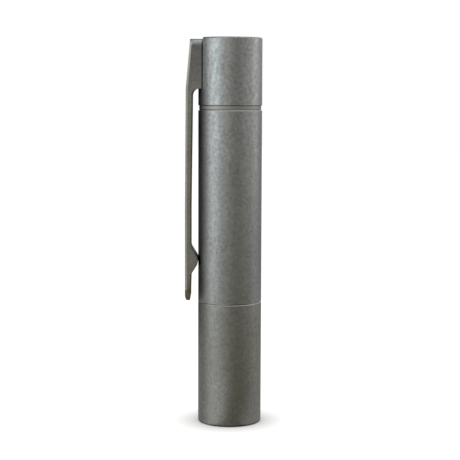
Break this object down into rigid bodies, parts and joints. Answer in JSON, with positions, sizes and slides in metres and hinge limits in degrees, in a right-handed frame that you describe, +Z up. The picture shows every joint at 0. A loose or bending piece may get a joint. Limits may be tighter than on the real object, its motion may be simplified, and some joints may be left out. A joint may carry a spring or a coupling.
{
  "type": "flashlight",
  "caption": "Slim cylindrical twist-head penlight in stonewashed metal with a milled pocket clip, a turned groove at the tail cap and its cell and light engine inside.",
  "frame": {"origin": "centre of the bezel rim's flat face, on the tube's axis, where the torch stands on its head", "axes": "+Z up the tube from the lens bezel to the tail face, the clip lies along the -X side, the beam leaves towards -Z"},
  "size_m": [0.0169, 0.014, 0.0849],
  "materials": {
    "titanium": "tumbled and stonewashed grade 5 titanium, dark grey with fine mottling",
    "lens_glass": "coated mineral glass",
    "black_rubber": "greased nitrile",
    "reflector_coat": "bright metallised bowl",
    "white_plastic": "plain moulded",
    "clear_silicone": "clear moulded dome",
    "phosphor": "ceramic package with a yellow phosphor square",
    "copper": "copper board with a white mask",
    "red_wire": "silicone insulation",
    "black_wire": "silicone insulation",
    "brass": "turned",
    "circuit_board": "green solder mask",
    "ferrite": "pressed ferrite",
    "chip_plastic": "moulded epoxy",
    "cell_steel": "nickel-plated",
    "cell_film": "plain printed film, no text",
    "dark_nylon": "moulded",
    "spring_steel": "plated wire",
    "screw_steel": "passivated stainless"
  },
  "bodies": {
    "body": {"barrel": "titanium", "head_oring": "black_rubber", "tail_oring": "black_rubber", "tail_spring": "spring_steel", "spring_plate": "brass", "tail_cap": "titanium", "clip_base": "titanium", "clip_screws": "screw_steel"},
    "cell": {"cell_can": "cell_steel", "cell_label": "cell_film", "cell_seal": "dark_nylon", "cell_plate": "cell_steel"},
    "head": {"head_shell": "titanium", "lens_gasket": "black_rubber", "lens": "lens_glass", "reflector": "reflector_coat", "centring_ring": "white_plastic", "led_dome": "clear_silicone", "led_package": "phosphor", "led_board": "copper", "wire_red": "red_wire", "wire_black": "black_wire", "heat_sink": "brass", "driver_board": "circuit_board", "driver_coil": "ferrite", "driver_parts": "chip_plastic", "contact_pin": "brass", "polarity_ring": "white_plastic", "lock_ring": "brass"},
    "clip": {"clip_arm": "titanium"}
  },
  "joints": [
    {"name": "cell_slide", "type": "slide", "parent": "cell", "child": "body", "axis": [0, 0, 1], "range_m": [-0.00008, 0.004], "deforming": ["tail_spring"]},
    {"name": "head_twist", "type": "hinge", "parent": "head", "child": "cell", "pos_m": [0, 0, 0.0187], "axis": [0, 0, 1], "range_deg": [-36.1, 1800.1]},
    {"name": "clip_flex", "type": "hinge", "parent": "body", "child": "clip", "pos_m": [-0.00967, 0, 0.07234], "axis": [0, 1, 0], "range_deg": [0, 3], "stiffness_Nm_per_rad": 12.8}
  ],
  "couplings": [
    {"joint": "head_twist", "follows": "cell_slide", "rad_per_m": 7854}
  ]
}
